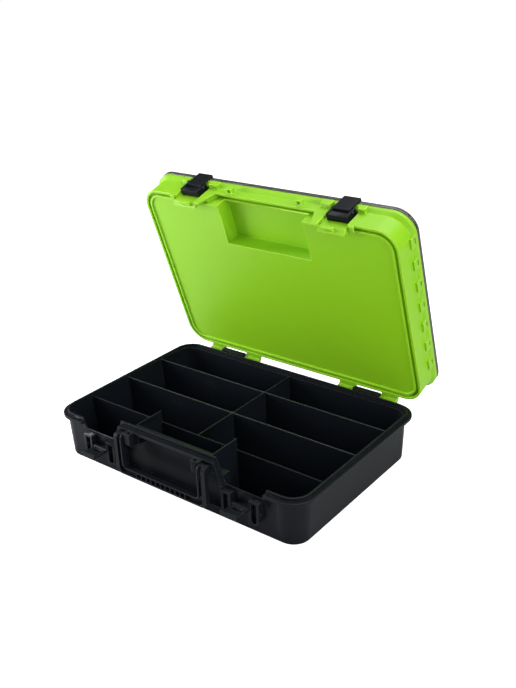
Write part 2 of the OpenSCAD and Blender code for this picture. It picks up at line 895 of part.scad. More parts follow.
base_shell();
divider_rear_left();
divider_rear_right();
divider_middle_left();
divider_middle_right();
handle();
handle_pin_left();
handle_pin_right();
base_latch_left();
base_latch_right();
base_latch_pin_left();
base_latch_pin_right();
hinge_pin_left();
hinge_pin_right();
lid_shell();
tray_divider_front();
tray_divider_middle();
tray_divider_rear();
cover_latch_bracket_left();
cover_latch_bracket_right();
cover_latch_left();
cover_latch_right();
cover_latch_pin_left();
cover_latch_pin_right();
cover();
cover_hinge_pin_left();
cover_hinge_pin_right();
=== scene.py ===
"""Visual model of the open tackle case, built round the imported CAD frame.

The moulded pieces are the CAD shapes with their edges rounded as a mould leaves them. The cover and
the ribs on the lift-out dividers are surfaces worked out here. Metres.
"""

import json
import math

import bmesh
import bpy
import numpy as np
from bpy.props import (
    FloatProperty,
    FloatVectorProperty,
    IntProperty,
    PointerProperty,
)
from mathutils import Matrix, Vector

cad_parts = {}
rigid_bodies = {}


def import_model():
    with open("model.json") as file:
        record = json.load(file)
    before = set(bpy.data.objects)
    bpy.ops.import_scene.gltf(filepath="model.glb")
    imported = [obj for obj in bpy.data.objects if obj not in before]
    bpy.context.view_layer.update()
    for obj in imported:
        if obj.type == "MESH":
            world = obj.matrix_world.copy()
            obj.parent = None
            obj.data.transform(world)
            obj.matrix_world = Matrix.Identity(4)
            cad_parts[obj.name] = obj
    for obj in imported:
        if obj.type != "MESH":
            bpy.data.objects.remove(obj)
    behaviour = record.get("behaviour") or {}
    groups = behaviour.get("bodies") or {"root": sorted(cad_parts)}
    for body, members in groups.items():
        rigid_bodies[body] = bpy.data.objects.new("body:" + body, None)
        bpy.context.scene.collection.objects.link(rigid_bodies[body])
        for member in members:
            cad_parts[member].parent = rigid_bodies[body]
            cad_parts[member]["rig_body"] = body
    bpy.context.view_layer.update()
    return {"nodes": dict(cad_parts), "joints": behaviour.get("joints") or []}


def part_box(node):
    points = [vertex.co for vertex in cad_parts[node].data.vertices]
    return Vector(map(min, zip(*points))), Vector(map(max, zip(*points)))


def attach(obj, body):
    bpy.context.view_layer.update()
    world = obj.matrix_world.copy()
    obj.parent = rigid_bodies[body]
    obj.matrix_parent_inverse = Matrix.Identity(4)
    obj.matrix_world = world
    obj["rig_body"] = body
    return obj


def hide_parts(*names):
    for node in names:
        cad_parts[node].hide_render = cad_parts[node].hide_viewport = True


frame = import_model()
JOINTS = {joint["name"]: joint for joint in frame["joints"]}
HINGE = JOINTS["lid_hinge"]
LID_ANGLE = math.radians(-HINGE["range_deg"][0])

# The cover's hinge, as the CAD has it: where its knuckles lie from the middle, their radii, and
# how far the pin lies above the cover's underside and behind its edge.
KNUCKLE_INNER, KNUCKLE_OUTER = 0.0964, 0.1236
BARREL_RADIUS, BORE_RADIUS = 0.0030, 0.00125
PIN_ABOVE_COVER, PIN_BEHIND_COVER = 0.001, 0.0035
# How far a tab reaches from the pin, to end inside the cover's rim.
TAB_REACH = 0.0042
# The groove round the cover's edge, as shares of the edge's height.
GROOVE_LOW, GROOVE_HIGH = 0.40, 0.60
POINTS_PER_CORNER = 12
LEAST_CORNER = 0.0004

# Each rib's length is a share of the longest one's.
RIB_SHARES = (0.80, 1.0, 0.86, 0.72, 0.5)
RIB_HALF_WIDTH = 0.0006
RIB_BELOW_TOP = 0.0105

JOIN_DISTANCE = 2e-6
FLAT_ANGLE = math.radians(0.4)
FAR = 1.0
SETTLE_ROUNDS = 8
GRADE_ROUNDS = 60

bl_info = {
    "name": "Tackle Case",
    "version": (1, 0, 0),
    "blender": (4, 5, 0),
    "location": "3D View > Sidebar > Tackle Case",
    "description": "Builds the moulded pieces, finishes and studio of an open tackle case",
    "category": "Object",
}


# ---------------------------------------------------------------- sizes and colours


class CaseEdges(bpy.types.PropertyGroup):
    """Roundings that the mould leaves on the pieces."""

    shell: FloatProperty(
        name="Shell edges", description="Rounding of the edges of the shells, the handle and the latches",
        default=0.00042, unit="LENGTH", subtype="DISTANCE",
    )
    foot: FloatProperty(
        name="Foot edge", description="Rounding round the outside of the base's underside",
        default=0.0024, unit="LENGTH", subtype="DISTANCE",
    )
    divider: FloatProperty(
        name="Divider edges", description="Rounding of the edges of the thin dividers",
        default=0.0003, unit="LENGTH", subtype="DISTANCE",
    )
    steps: IntProperty(
        name="Steps", description="Flats across a rounded edge", default=2, min=1, max=6,
    )


class CaseFinish(bpy.types.PropertyGroup):
    """Colours and surface of the plastics and the steel."""

    black: FloatVectorProperty(
        name="Black", description="Colour of the base, handle and latches", subtype="COLOR",
        default=(0.0066, 0.0082, 0.0114), min=0, max=1,
    )
    # The colour painted on the black plastic's edges is a painted highlight. It stands in for the light
    # that the edges catch.
    black_edge_highlight: FloatVectorProperty(
        name="Black edge", description="Colour of the black plastic where its edges are rubbed",
        subtype="COLOR", default=(0.150, 0.158, 0.166), min=0, max=1,
    )
    lime: FloatVectorProperty(
        name="Lime", description="Colour of the lid", subtype="COLOR",
        default=(0.255, 0.570, 0.010), min=0, max=1,
    )
    # The colour painted on the lid's edges is painted light: a glow and highlight for light that passes
    # through the thin edges and catches them.
    lime_edge_glow: FloatVectorProperty(
        name="Lime edge", description="Colour of the lid where thin edges let light through",
        subtype="COLOR", default=(0.62, 0.95, 0.07), min=0, max=1,
    )
    smoke: FloatVectorProperty(
        name="Smoke", description="Colour of the clear cover and the tray's dividers",
        subtype="COLOR", default=(0.44, 0.45, 0.42), min=0, max=1,
    )
    smoke_edge: FloatVectorProperty(
        name="Smoke edge", description="Colour of the cover's thick rim, seen along the plastic",
        subtype="COLOR", default=(0.115, 0.122, 0.098), min=0, max=1,
    )
    steel: FloatVectorProperty(
        name="Steel", description="Colour of the pins", subtype="COLOR",
        default=(0.56, 0.57, 0.58), min=0, max=1,
    )
    black_roughness: FloatProperty(
        name="Black roughness", description="Roughness of the black plastic", default=0.33,
        min=0, max=1, subtype="FACTOR",
    )
    lime_roughness: FloatProperty(
        name="Lime roughness", description="Roughness of the lid's plastic", default=0.42,
        min=0, max=1, subtype="FACTOR",
    )
    grain: FloatProperty(
        name="Grain", description="Spacing of the fine grain of the moulded faces",
        default=0.0006, unit="LENGTH", subtype="DISTANCE",
    )


class CoverShape(bpy.types.PropertyGroup):
    """Shape of the clear cover over the lid's tray."""

    border: FloatProperty(
        name="Border", description="Width of the raised border round the cover's panel",
        default=0.0165, unit="LENGTH", subtype="DISTANCE",
    )
    step: FloatProperty(
        name="Step", description="How far the panel lies below the border",
        default=0.0008, unit="LENGTH", subtype="DISTANCE",
    )
    skin: FloatProperty(
        name="Skin", description="Thickness of the border over the tray",
        default=0.0022, unit="LENGTH", subtype="DISTANCE",
    )
    rim: FloatProperty(
        name="Rim", description="Width of the rim that sits on the tray's seat",
        default=0.0034, unit="LENGTH", subtype="DISTANCE",
    )
    tab: FloatProperty(
        name="Hinge tab", description="Thickness of the tabs that carry the cover's knuckles",
        default=0.0038, unit="LENGTH", subtype="DISTANCE",
    )
    groove: FloatProperty(
        name="Groove", description="Depth of the groove round the cover's edge",
        default=0.0005, unit="LENGTH", subtype="DISTANCE",
    )
    corner: FloatProperty(
        name="Corner", description="Corner radius of the cover, seen from above",
        default=0.027, unit="LENGTH", subtype="DISTANCE",
    )
    round: FloatProperty(
        name="Rounding", description="Rounding of the cover's edges",
        default=0.0007, unit="LENGTH", subtype="DISTANCE",
    )


class DividerRibs(bpy.types.PropertyGroup):
    """Fine ribs moulded on the faces of the lift-out dividers."""

    rows: IntProperty(name="Rows", description="Ribs on a divider", default=5, min=1, max=12)
    pitch: FloatProperty(
        name="Pitch", description="Spacing of the ribs, one above the other",
        default=0.0042, unit="LENGTH", subtype="DISTANCE",
    )
    length: FloatProperty(
        name="Length", description="Length of the longest rib",
        default=0.027, unit="LENGTH", subtype="DISTANCE",
    )
    height: FloatProperty(
        name="Height", description="How far a rib stands out from the divider",
        default=0.00009, unit="LENGTH", subtype="DISTANCE",
    )


class CaseStage(bpy.types.PropertyGroup):
    """Camera, lamps and floor."""

    azimuth: FloatProperty(
        name="Azimuth", description="Turn of the camera's view from straight at the front",
        default=math.radians(38.58), unit="ROTATION",
    )
    elevation: FloatProperty(
        name="Elevation", description="How far the camera looks down",
        default=math.radians(24.49), unit="ROTATION",
    )
    roll: FloatProperty(
        name="Roll", description="Tilt of the camera about its view",
        default=math.radians(-2.44), unit="ROTATION",
    )
    eye: FloatVectorProperty(
        name="Eye", description="Place of the camera", subtype="TRANSLATION", unit="LENGTH",
        default=(0.6410, -0.7512, 0.5972),
    )
    lens: FloatProperty(
        name="Lens", description="Focal length on a 36 mm wide sensor", default=47.11,
    )
    ambient: FloatProperty(
        name="Ambient", description="Strength of the light from all round", default=0.15, min=0,
    )


# ---------------------------------------------------------------- grids and meshes


def turned_lid(points, angle):
    """Points of the lid, turned about the main hinge towards open.

    y' = y0 + (y - y0) cos a + (z - z0) sin a and z' = z0 - (y - y0) sin a + (z - z0) cos a.
    """
    points = np.array(points, float)
    _, y0, z0 = HINGE["pos_m"]
    y, z = points[:, 1] - y0, points[:, 2] - z0
    c, s = math.cos(angle), math.sin(angle)
    points[:, 1] = y0 + y * c + z * s
    points[:, 2] = z0 - y * s + z * c
    return points


def rounded_outline(half_x, front, back, radius, inset):
    """Points round a rectangle with rounded corners, drawn in by the inset.

    Each corner's centre plus r (cos t, sin t), for a quarter turn of t, where r is the radius less
    the inset, and no less than LEAST_CORNER.
    """
    r = max(radius - inset, LEAST_CORNER)
    x, f, b = half_x - inset - r, front + inset + r, back - inset - r
    centres = np.array([(x, b), (-x, b), (-x, f), (x, f)])
    quarter = np.linspace(0, math.pi / 2, POINTS_PER_CORNER)[None, :]
    t = quarter + np.arange(4)[:, None] * math.pi / 2
    arcs = centres[:, None, :] + r * np.stack([np.cos(t), np.sin(t)], axis=-1)
    return arcs.reshape(-1, 2)


def filleted(corners, radii, steps=5):
    """A profile whose corners are rounded: each corner gives way to an arc that touches both sides.

    The arc is a quadratic curve, (1-t)^2 a + 2t(1-t) corner + t^2 b, with a and b at the radius
    from the corner along its two sides.
    """
    corners = np.array(corners, float)
    out = [corners[:1]]
    t = np.linspace(0, 1, steps)[:, None]
    for before, corner, after, radius in zip(corners[:-2], corners[1:-1], corners[2:], radii):
        a = corner + radius * (before - corner) / np.linalg.norm(before - corner)
        b = corner + radius * (after - corner) / np.linalg.norm(after - corner)
        out.append((1 - t) ** 2 * a + 2 * t * (1 - t) * corner + t**2 * b)
    out.append(corners[-1:])
    return np.concatenate(out)


def ring_faces(rings, around):
    """Quads between neighbouring rings of a grid, with the points of each ring joined end to end."""
    i = np.arange(rings - 1)[:, None] * around
    j = np.arange(around)[None, :]
    k = (j + 1) % around
    return np.stack([i + j, i + k, i + around + k, i + around + j], axis=-1).reshape(-1, 4)


def make_piece(name, points, faces, body, material, smooth_angle=35.0):
    """A piece from points and faces, shaded smooth up to an angle, that rides on a body."""
    mesh = bpy.data.meshes.new(name)
    mesh.from_pydata(np.asarray(points).tolist(), [], [list(map(int, face)) for face in faces])
    mesh.validate()
    mesh.shade_smooth()
    mesh.set_sharp_from_angle(angle=math.radians(smooth_angle))
    piece = bpy.data.objects.new(name, mesh)
    bpy.context.scene.collection.objects.link(piece)
    mesh.materials.append(material)
    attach(piece, body)
    return piece


def joined(mesh):
    """Joins a CAD mesh's loose triangles, and makes one face of those that lie in one plane."""
    work = bmesh.new()
    work.from_mesh(mesh)
    bmesh.ops.remove_doubles(work, verts=work.verts, dist=JOIN_DISTANCE)
    bmesh.ops.dissolve_limit(
        work, angle_limit=FLAT_ANGLE, verts=work.verts, edges=work.edges
    )
    work.to_mesh(mesh)
    work.free()


def read_array(items, name, width, kind):
    """A mesh's values of one name, as an array with one row for each item."""
    values = np.empty(len(items) * width, kind)
    items.foreach_get(name, values)
    return values.reshape(-1, width) if width > 1 else values


def facing_gaps(points, ahead, inward, sharp):
    """For each side of a face, the least distance to a side that it faces across the face.

    Sides i and j face each other where each lies on the other's inner side. The distance is the
    least from an end of one to the line between the other's ends. Neighbours don't count, nor do
    two sides of which neither is to be rounded.
    """
    after = np.roll(points, -1, axis=0)
    length = np.linalg.norm(after - points, axis=1)
    gaps = np.full((len(points), len(points)), FAR)
    facing = np.zeros(gaps.shape, bool)
    for end in (points, after):
        away = end[None, :, :] - points[:, None, :]
        along = (away * ahead[:, None, :]).sum(axis=2)
        nearest = np.clip(along, 0, length[:, None])
        apart = away - nearest[:, :, None] * ahead[:, None, :]
        gaps = np.minimum(gaps, np.linalg.norm(apart, axis=2))
        facing |= (away * inward[:, None, :]).sum(axis=2) > 1e-6
    gaps = np.minimum(gaps, gaps.T)
    count = np.arange(len(points))
    step = np.abs(count[:, None] - count[None, :])
    beside = (step <= 1) | (step == len(points) - 1)
    blocked = beside | ~(facing & facing.T) | ~(sharp[:, None] | sharp[None, :])
    return np.where(blocked, FAR, gaps).min(axis=1)


def edge_radii(mesh, radius, foot_radius, crease=28.0, share=0.42):
    """How far each outer edge is rounded, which edges are creases that stay as they are, and which
    pairs follow each other gently along an outline, with the most that their radii may differ.

    An edge counts as a corner where its two faces turn by more than the crease angle, and as an
    outer one where either face runs off below the other. Inner corners stay sharp.

    At a corner where two rounded edges turn by t, a radius r takes r tan(t/2) off both, and where
    an edge ends on a flat one it takes r / sin t off that. Neither may pass a share of the length
    that it is taken from, nor of the gap to an edge across the face. Along an outline that turns
    gently, the radius changes by no more than a share of length times sin t from edge to edge.
    Edges on the ground plane get the foot's radius.
    """
    points = read_array(mesh.vertices, "co", 3, np.float32).astype(float)
    ends = read_array(mesh.edges, "vertices", 2, np.int32)
    corner_edge = read_array(mesh.loops, "edge_index", 1, np.int32)
    corner_point = read_array(mesh.loops, "vertex_index", 1, np.int32)
    starts = read_array(mesh.polygons, "loop_start", 1, np.int32)
    totals = read_array(mesh.polygons, "loop_total", 1, np.int32)
    normals = read_array(mesh.polygons, "normal", 3, np.float32).astype(float)
    face = np.repeat(np.arange(len(starts)), totals)
    after = np.arange(len(face)) + 1
    after[starts + totals - 1] = starts
    corner = points[corner_point]
    run = corner[after] - corner
    length = np.linalg.norm(run, axis=1)
    ahead = run / np.maximum(length, 1e-9)[:, None]
    inward = np.cross(normals[face], ahead)
    sides = np.argsort(corner_edge, kind="stable").reshape(-1, 2)
    one, other = normals[face[sides[:, 0]]], normals[face[sides[:, 1]]]
    creased = np.arccos(np.clip((one * other).sum(axis=1), -1, 1)) > math.radians(crease)
    outer = (inward[sides[:, 0]] * other).sum(axis=1) < 0
    sharp = creased & outer
    cross = (np.cross(ahead, ahead[after]) * normals[face]).sum(axis=1)
    turn = np.arctan2(cross, (ahead * ahead[after]).sum(axis=1))
    here, there = corner_edge, corner_edge[after]
    both = sharp[here] & sharp[there]
    shorter = np.minimum(length, length[after])
    straight, gentle_turn, least_sine = 0.02, 1.0, 0.15
    reach = share * shorter / np.tan(np.maximum(turn, straight) / 2)
    outward = np.where(turn > straight, reach, FAR)
    sine = np.maximum(np.abs(np.sin(turn)), least_sine)
    limit = np.full(len(ends), FAR)
    np.minimum.at(limit, here, np.where(both, outward, share * length[after] * sine))
    np.minimum.at(limit, there, np.where(both, outward, share * length * sine))
    for first, total in zip(starts, totals):
        if total > 4:
            part = slice(first, first + total)
            gap = facing_gaps(corner[part], ahead[part], inward[part], sharp[here[part]])
            np.minimum.at(limit, here[part], share * gap)
    on_ground = (np.abs(points[ends][:, :, 2]) < 1e-5).all(axis=1)
    radii = np.where(on_ground, foot_radius, radius)
    radii = np.where(sharp, np.minimum(radii, limit), 0.0)
    gentle = both & (np.abs(turn) < gentle_turn)
    slack = share * (shorter * np.abs(np.sin(turn)))[gentle]
    return radii, creased & ~outer, (here[gentle], there[gentle], slack)


def graded(radii, neighbours):
    """The radii, brought down so that they change gently along an outline."""
    here, there, slack = neighbours
    for _ in range(GRADE_ROUNDS):
        np.minimum.at(radii, here, radii[there] + slack)
        np.minimum.at(radii, there, radii[here] + slack)
    return radii


def folded_places(piece):
    """Corners of a finished piece's triangles that face against their own polygon, as they do where
    roundings collide.
    """
    finished = piece.evaluated_get(bpy.context.evaluated_depsgraph_get())
    mesh = finished.to_mesh()
    mesh.calc_loop_triangles()
    points = read_array(mesh.vertices, "co", 3, np.float32).astype(float)
    corners = read_array(mesh.loop_triangles, "vertices", 3, np.int32)
    owner = read_array(mesh.loop_triangles, "polygon_index", 1, np.int32)
    normals = read_array(mesh.polygons, "normal", 3, np.float32).astype(float)
    a, b, c = points[corners[:, 0]], points[corners[:, 1]], points[corners[:, 2]]
    over = (np.cross(b - a, c - a) * normals[owner]).sum(axis=1) < -1e-10
    finished.to_mesh_clear()
    return points[np.unique(corners[over])]


def settle_radii(piece, radii, neighbours, width, reach=0.0009):
    """Sets the bevel's weights, and takes the rounding off edges next to faces that fold over."""
    mesh = piece.data
    points = read_array(mesh.vertices, "co", 3, np.float32).astype(float)
    ends = read_array(mesh.edges, "vertices", 2, np.int32)
    for turn in range(SETTLE_ROUNDS):
        radii = graded(radii, neighbours)
        weights = mesh.attributes["bevel_weight_edge"].data
        weights.foreach_set("value", (radii / width).astype(np.float32))
        mesh.update()
        spots = folded_places(piece)
        if not len(spots):
            break
        near = np.zeros(len(points), bool)
        for spot in spots:
            near |= np.linalg.norm(points - spot, axis=1) < reach * (1 + turn)
        radii[near[ends].any(axis=1)] = 0.0


def rounded_piece(node, material, radius, steps, foot_radius=None):
    """Stands for a CAD node: the same shape, with its edges rounded and its flats shaded flat."""
    source = frame["nodes"][node]
    mesh = source.data.copy()
    mesh.name = node + "_moulded"
    joined(mesh)
    width = foot_radius or radius
    radii, valleys, neighbours = edge_radii(mesh, radius, width)
    mesh.attributes.new("bevel_weight_edge", "FLOAT", "EDGE")
    mesh.shade_smooth()
    mesh.edges.foreach_set("use_edge_sharp", valleys)
    mesh.materials.clear()
    mesh.materials.append(material)
    piece = bpy.data.objects.new(mesh.name, mesh)
    bpy.context.scene.collection.objects.link(piece)
    bevel = piece.modifiers.new("Rounded edges", "BEVEL")
    bevel.width = width
    bevel.segments = steps
    bevel.limit_method = "WEIGHT"
    bevel.use_clamp_overlap = False
    bevel.loop_slide = False
    bevel.miter_outer = "MITER_ARC"
    settle_radii(piece, radii, neighbours, width)
    normals = piece.modifiers.new("Flat faces", "WEIGHTED_NORMAL")
    normals.weight = 80
    normals.keep_sharp = True
    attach(piece, source["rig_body"])
    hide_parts(node)
    return piece


# ---------------------------------------------------------------- materials


def new_group(name, inputs, outputs):
    """An empty shader node group with named number inputs, and named outputs of given types."""
    group = bpy.data.node_groups.new(name, "ShaderNodeTree")
    for title, value in inputs.items():
        socket = group.interface.new_socket(title, in_out="INPUT", socket_type="NodeSocketFloat")
        socket.default_value = value
    for title, kind in outputs.items():
        group.interface.new_socket(title, in_out="OUTPUT", socket_type=kind)
    start = group.nodes.new("NodeGroupInput")
    end = group.nodes.new("NodeGroupOutput")
    return group, start, end


def node_in(tree, kind, inputs=None, **settings):
    """A node in a tree, with its settings, and its inputs set to values or linked to sockets."""
    node = tree.nodes.new(kind)
    for key, value in settings.items():
        setattr(node, key, value)
    for key, value in (inputs or {}).items():
        if isinstance(value, bpy.types.NodeSocket):
            tree.links.new(value, node.inputs[key])
        else:
            node.inputs[key].default_value = value
    return node


def math_in(tree, operation, a, b=0.0, clamp=False):
    """The result of a Math node on two values or sockets."""
    return node_in(
        tree, "ShaderNodeMath", {0: a, 1: b}, operation=operation, use_clamp=clamp
    ).outputs[0]


def mix_colours(tree, factor, a, b):
    """The result of a Mix node on two colours."""
    mix = node_in(tree, "ShaderNodeMix", data_type="RGBA")
    for socket, value in zip((mix.inputs[0], mix.inputs[6], mix.inputs[7]), (factor, a, b)):
        if isinstance(value, bpy.types.NodeSocket):
            tree.links.new(value, socket)
        else:
            socket.default_value = value
    return mix.outputs[2]


def grain_group():
    """Grain of a moulded face: a fine height, a slow cloud, and a roughness that drifts with it."""
    found = bpy.data.node_groups.get("Moulded grain")
    if found:
        return found
    group, start, end = new_group(
        "Moulded grain",
        {"Spacing": 0.0006, "Roughness": 0.4, "Drift": 0.08},
        {"Height": "NodeSocketFloat", "Roughness": "NodeSocketFloat", "Cloud": "NodeSocketFloat"},
    )
    place = node_in(group, "ShaderNodeTexCoord").outputs["Object"]
    scale = math_in(group, "DIVIDE", 1.0, start.outputs["Spacing"])
    fine = node_in(
        group, "ShaderNodeTexNoise",
        {"Vector": place, "Scale": scale, "Detail": 2.0, "Roughness": 0.55},
    ).outputs["Fac"]
    slow = node_in(
        group, "ShaderNodeTexNoise",
        {"Vector": place, "Scale": 22.0, "Detail": 3.0, "Roughness": 0.6},
    ).outputs["Fac"]
    centred = math_in(group, "SUBTRACT", slow, 0.5)
    drift = math_in(group, "MULTIPLY", centred, start.outputs["Drift"])
    rough = math_in(group, "ADD", start.outputs["Roughness"], drift, clamp=True)
    group.links.new(fine, end.inputs["Height"])
    group.links.new(rough, end.inputs["Roughness"])
    group.links.new(slow, end.inputs["Cloud"])
    return group


def edge_group():
    """Mask of edges: how far the surface's direction differs from a rounded one's."""
    found = bpy.data.node_groups.get("Edge mask")
    if found:
        return found
    group, start, end = new_group(
        "Edge mask",
        {"Radius": 0.0008, "Contrast": 6.0},
        {"Mask": "NodeSocketFloat"},
    )
    rounded = node_in(
        group, "ShaderNodeBevel", {"Radius": start.outputs["Radius"]}, samples=4
    ).outputs["Normal"]
    flat = node_in(group, "ShaderNodeNewGeometry").outputs["Normal"]
    along = node_in(
        group, "ShaderNodeVectorMath", {0: rounded, 1: flat}, operation="DOT_PRODUCT"
    ).outputs["Value"]
    away = math_in(group, "SUBTRACT", 1.0, along)
    strong = math_in(group, "MULTIPLY", away, start.outputs["Contrast"], clamp=True)
    group.links.new(strong, end.inputs["Mask"])
    return group


def place_group(tree, group, **inputs):
    """A node that holds a node group, with its inputs set."""
    node = tree.nodes.new("ShaderNodeGroup")
    node.node_tree = group
    for key, value in inputs.items():
        node.inputs[key].default_value = value
    return node


def blank_material(name):
    """A material with an empty Principled shader, and its tree and shader."""
    material = bpy.data.materials.new(name)
    material.use_nodes = True
    tree = material.node_tree
    return material, tree, tree.nodes["Principled BSDF"]


def moulded_material(
    name, colour, painted_edge_colour, roughness, grain, painted_highlight_amount, edge_width, bump, drift, gloss
):
    """Moulded plastic: clouded colour, painted highlights on its edges, drifting roughness and a fine
    grain.
    """
    found = bpy.data.materials.get(name)
    if found:
        return found
    material, tree, shader = blank_material(name)
    surface = place_group(tree, grain_group(), Spacing=grain, Roughness=roughness, Drift=drift)
    edges = place_group(tree, edge_group(), Radius=edge_width, Contrast=7.0)
    clouded = math_in(tree, "MULTIPLY", surface.outputs["Cloud"], 0.24)
    darker = tuple(0.80 * c for c in colour)
    base = mix_colours(tree, clouded, (*colour, 1), (*darker, 1))
    # The edge mask paints the edge colour on as a painted highlight along the edges.
    mask = math_in(tree, "MULTIPLY", edges.outputs["Mask"], painted_highlight_amount)
    with_painted_edges = mix_colours(tree, mask, base, (*painted_edge_colour, 1))
    tree.links.new(with_painted_edges, shader.inputs["Base Color"])
    tree.links.new(surface.outputs["Roughness"], shader.inputs["Roughness"])
    relief = node_in(
        tree, "ShaderNodeBump",
        {"Height": surface.outputs["Height"], "Strength": bump, "Distance": 0.00003},
    )
    tree.links.new(relief.outputs["Normal"], shader.inputs["Normal"])
    shader.inputs["Specular IOR Level"].default_value = gloss
    return material


def black_plastic(name="black_moulding", painted_highlight_amount=0.36, edge_width=0.0006):
    """Satin black plastic of the base, handle and latches, with painted highlights on its edges."""
    finish = bpy.context.scene.case_finish
    return moulded_material(
        name, tuple(finish.black), tuple(finish.black_edge_highlight), finish.black_roughness, finish.grain,
        painted_highlight_amount=painted_highlight_amount, edge_width=edge_width, bump=0.35, drift=0.10, gloss=0.11,
    )


def lime_plastic():
    """Lime plastic of the lid, with painted light on its edges that stands in for the light passing
    through them.
    """
    finish = bpy.context.scene.case_finish
    material = moulded_material(
        "lime_moulding", tuple(finish.lime), tuple(finish.lime_edge_glow), finish.lime_roughness,
        finish.grain * 1.2, painted_highlight_amount=0.8, edge_width=0.0012, bump=0.22, drift=0.08, gloss=0.35,
    )
    shader = material.node_tree.nodes["Principled BSDF"]
    shader.inputs["Subsurface Weight"].default_value = 0.12
    shader.inputs["Subsurface Radius"].default_value = (0.6, 1.0, 0.15)
    shader.inputs["Subsurface Scale"].default_value = 0.003
    return material


def clear_material(name, colour, transmission):
    """Clear plastic with a faint haze, clouded colour and drifting roughness."""
    found = bpy.data.materials.get(name)
    if found:
        return found
    material, tree, shader = blank_material(name)
    surface = place_group(tree, grain_group(), Spacing=0.002, Roughness=0.13, Drift=0.12)
    darker = tuple(0.86 * c for c in colour)
    base = mix_colours(tree, surface.outputs["Cloud"], (*colour, 1), (*darker, 1))
    tree.links.new(base, shader.inputs["Base Color"])
    tree.links.new(surface.outputs["Roughness"], shader.inputs["Roughness"])
    relief = node_in(
        tree, "ShaderNodeBump",
        {"Height": surface.outputs["Height"], "Strength": 0.05, "Distance": 0.00003},
    )
    tree.links.new(relief.outputs["Normal"], shader.inputs["Normal"])
    shader.inputs["Transmission Weight"].default_value = transmission
    shader.inputs["IOR"].default_value = 1.49
    return material


def smoke_plastic():
    """Clear smoke plastic of the cover's panel and the tray's dividers."""
    return clear_material("smoke_clear", tuple(bpy.context.scene.case_finish.smoke), 0.9)


def smoke_rim():
    """The same plastic at the cover's thick rim and knuckles, where it looks darker."""
    return clear_material("smoke_rim", tuple(bpy.context.scene.case_finish.smoke_edge), 0.6)


def steel():
    """Drawn steel wire of the pins, with fine scratches along it."""
    found = bpy.data.materials.get("drawn_steel")
    if found:
        return found
    finish = bpy.context.scene.case_finish
    material, tree, shader = blank_material("drawn_steel")
    place = node_in(tree, "ShaderNodeTexCoord").outputs["Object"]
    along = node_in(tree, "ShaderNodeMapping", {"Vector": place, "Scale": (40.0, 4000.0, 4000.0)})
    streaks = node_in(
        tree, "ShaderNodeTexNoise", {"Vector": along.outputs[0], "Scale": 1.0, "Detail": 2.0}
    ).outputs["Fac"]
    darker = tuple(0.6 * c for c in finish.steel)
    base = mix_colours(tree, streaks, (*finish.steel, 1), (*darker, 1))
    tree.links.new(base, shader.inputs["Base Color"])
    rough = math_in(tree, "MULTIPLY_ADD", streaks, 0.3)
    rough.node.inputs[2].default_value = 0.15
    tree.links.new(rough, shader.inputs["Roughness"])
    shader.inputs["Metallic"].default_value = 1.0
    return material


# ---------------------------------------------------------------- the pieces


def black_piece(node, edges, foot_radius=None):
    """A black moulded piece that stands for a CAD node."""
    return rounded_piece(
        node, black_plastic(), edges.shell, edges.steps, foot_radius
    )


class TACKLE_OT_base_shell(bpy.types.Operator):
    """Builds the black base with its rounded edges and foot"""

    bl_idname = "tackle.base_shell"
    bl_label = "Base shell"

    def execute(self, context):
        edges = context.scene.case_edges
        black_piece("base_shell", edges, edges.foot)
        return {"FINISHED"}


class TACKLE_OT_dividers(bpy.types.Operator):
    """Builds the lift-out dividers of the base and the tray"""

    bl_idname = "tackle.dividers"
    bl_label = "Dividers"

    def execute(self, context):
        edges = context.scene.case_edges
        for row in ("rear", "middle"):
            for side in ("left", "right"):
                # The dividers' thin tops get a strong painted highlight from the edge mask.
                rounded_piece(
                    f"divider_{row}_{side}",
                    black_plastic("black_dividers", painted_highlight_amount=0.7, edge_width=0.0012),
                    edges.divider, edges.steps,
                )
        for row in ("front", "middle", "rear"):
            rounded_piece(
                f"tray_divider_{row}", smoke_plastic(), edges.divider, edges.steps
            )
        return {"FINISHED"}


class TACKLE_OT_divider_ribs(bpy.types.Operator):
    """Builds the fine ribs moulded on the lift-out dividers"""

    bl_idname = "tackle.divider_ribs"
    bl_label = "Divider ribs"

    def execute(self, context):
        ribs = context.scene.divider_ribs
        shares = np.array(RIB_SHARES)
        for row in ("rear", "middle"):
            for side in ("left", "right"):
                low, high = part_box(f"divider_{row}_{side}")
                centre = np.array([(low.x + high.x) / 2, 0, high.z - RIB_BELOW_TOP])
                lengths = ribs.length * shares[np.arange(ribs.rows) % len(shares)]
                points, faces = rib_grid(centre, low.y, lengths, ribs.pitch, ribs.height)
                make_piece(
                    f"divider_ribs_{row}_{side}", points, faces, "base",
                    black_plastic("black_ribs", painted_highlight_amount=0.0),
                )
        return {"FINISHED"}


def rib_grid(centre, face_y, lengths, pitch, height, across=7, along=15):
    """Low rounded ribs on a face that looks along -y, one closed grid for each.

    Across a rib, z = w cos t and it stands out by h sin t, for a whole turn of t, so that half of it
    lies inside the divider. Along it, both shrink towards the ends by sqrt(1 - u^8), though never
    to nothing, and each end is closed by a flat face.
    """
    points, faces = [], []
    u = np.linspace(-1, 1, along)[:, None]
    t = np.linspace(0, 2 * math.pi, 2 * across - 1)[:-1][None, :]
    taper = np.sqrt(np.clip(1 - u**8, 0.004, 1))
    for row, length in enumerate(lengths):
        x = centre[0] + u * length / 2 + 0 * t
        z = centre[2] - row * pitch + RIB_HALF_WIDTH * taper * np.cos(t)
        y = face_y - height * taper * np.sin(t)
        grid = np.stack([x, y, z], axis=-1).reshape(-1, 3)
        start = sum(len(p) for p in points)
        around = t.shape[1]
        faces += (ring_faces(along, around) + start).tolist()
        faces += [list(range(start, start + around))[::-1]]
        faces += [list(range(start + (along - 1) * around, start + along * around))]
        points.append(grid)
    return np.concatenate(points), faces


